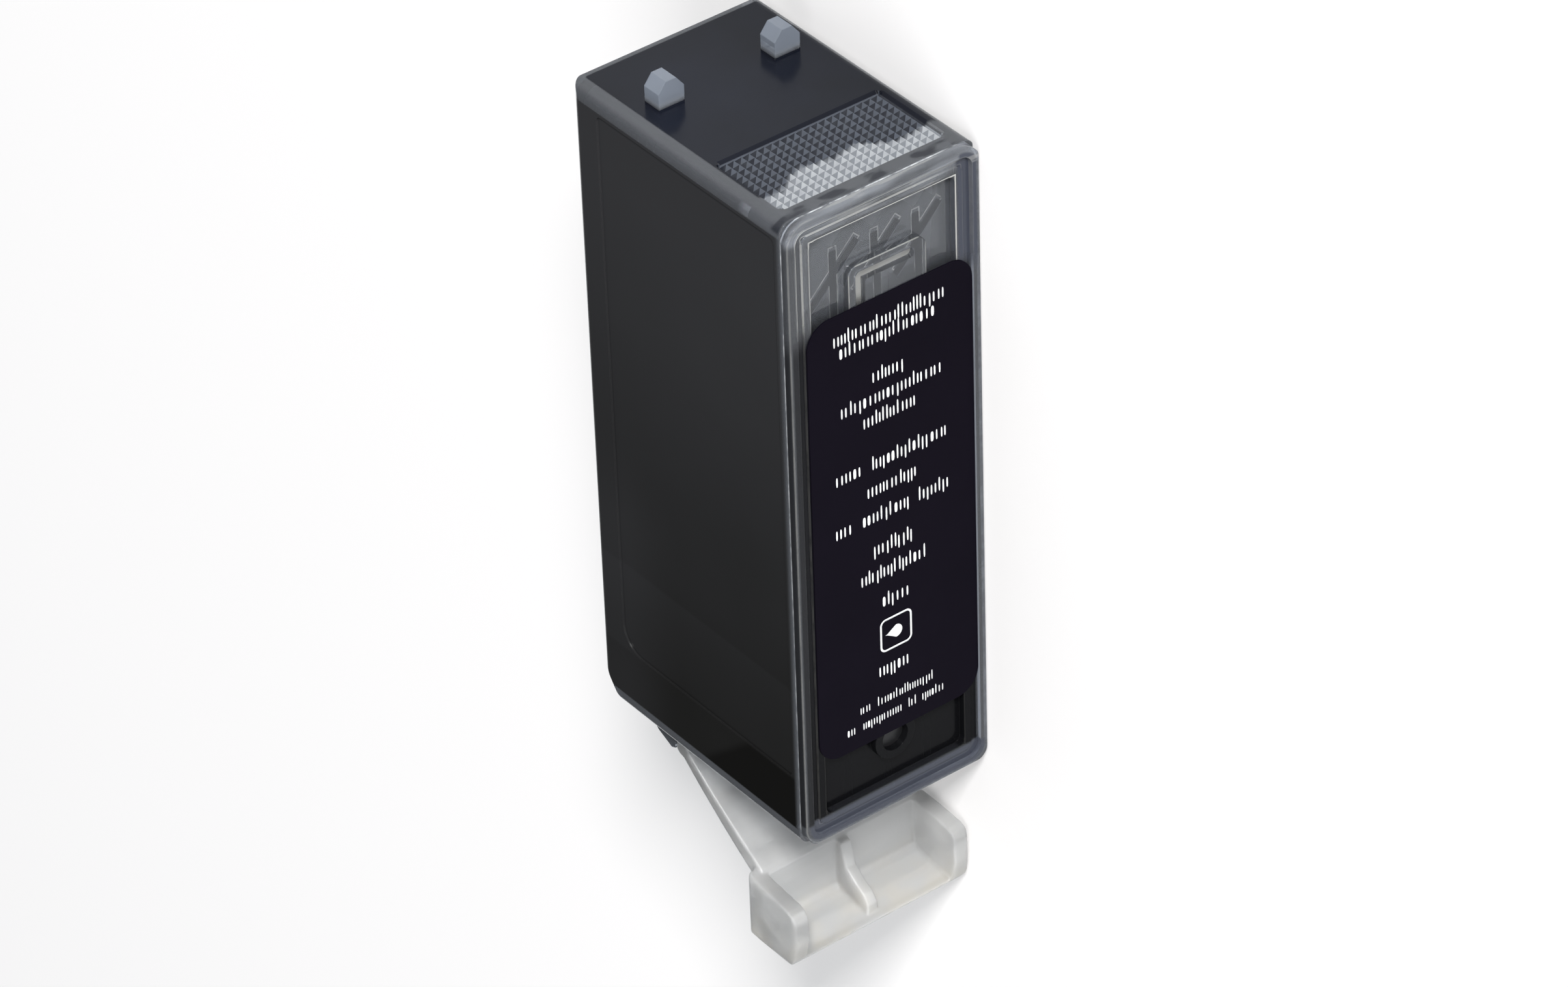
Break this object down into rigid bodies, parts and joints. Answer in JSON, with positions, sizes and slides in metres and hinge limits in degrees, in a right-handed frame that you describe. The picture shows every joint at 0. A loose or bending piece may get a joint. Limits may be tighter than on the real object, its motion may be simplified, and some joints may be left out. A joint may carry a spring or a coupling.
{
  "type": "inkjet ink cartridge",
  "caption": "Clear plastic ink tank with black fibre absorbers, a welded lid with a label, a sprung latch lever with a thumb tab, rear locating tabs and a contact chip.",
  "frame": {"origin": "centre of the bounding box on the broad side that the cartridge lies on", "axes": "+X from the lever end to the rear end with the tabs, +Y from the lid to the outlet side, +Z out of the upper broad side"},
  "size_m": [0.0844, 0.0314, 0.0205],
  "materials": {
    "case_plastic": "satin translucent",
    "lid_plastic": "satin translucent",
    "label_film": "satin",
    "lever_plastic": "satin translucent",
    "dry_foam": "matte",
    "wet_foam": "matte",
    "ink": "gloss",
    "plug": "satin",
    "board": "satin",
    "gold_plate": "satin",
    "led_lens": "gloss",
    "potting": "matte"
  },
  "bodies": {
    "tank": {"tank_body": "case_plastic", "lid": "lid_plastic", "top_label": "label_film", "upper_absorber": "dry_foam", "lower_absorber": "wet_foam", "outlet_wick": "wet_foam", "ink_charge": "ink", "fill_plug": "plug", "chip_board": "board", "chip_contacts": "gold_plate", "chip_led": "led_lens", "chip_potting": "potting"},
    "lever": {"latch_lever": "lever_plastic"}
  },
  "joints": [
    {"name": "lever_flex", "type": "hinge", "parent": "tank", "child": "lever", "pos_m": [-0.0275, 0.0045, 0.01025], "axis": [0, 0, 1], "range_deg": [0, 12], "stiffness_Nm_per_rad": 0.05}
  ]
}
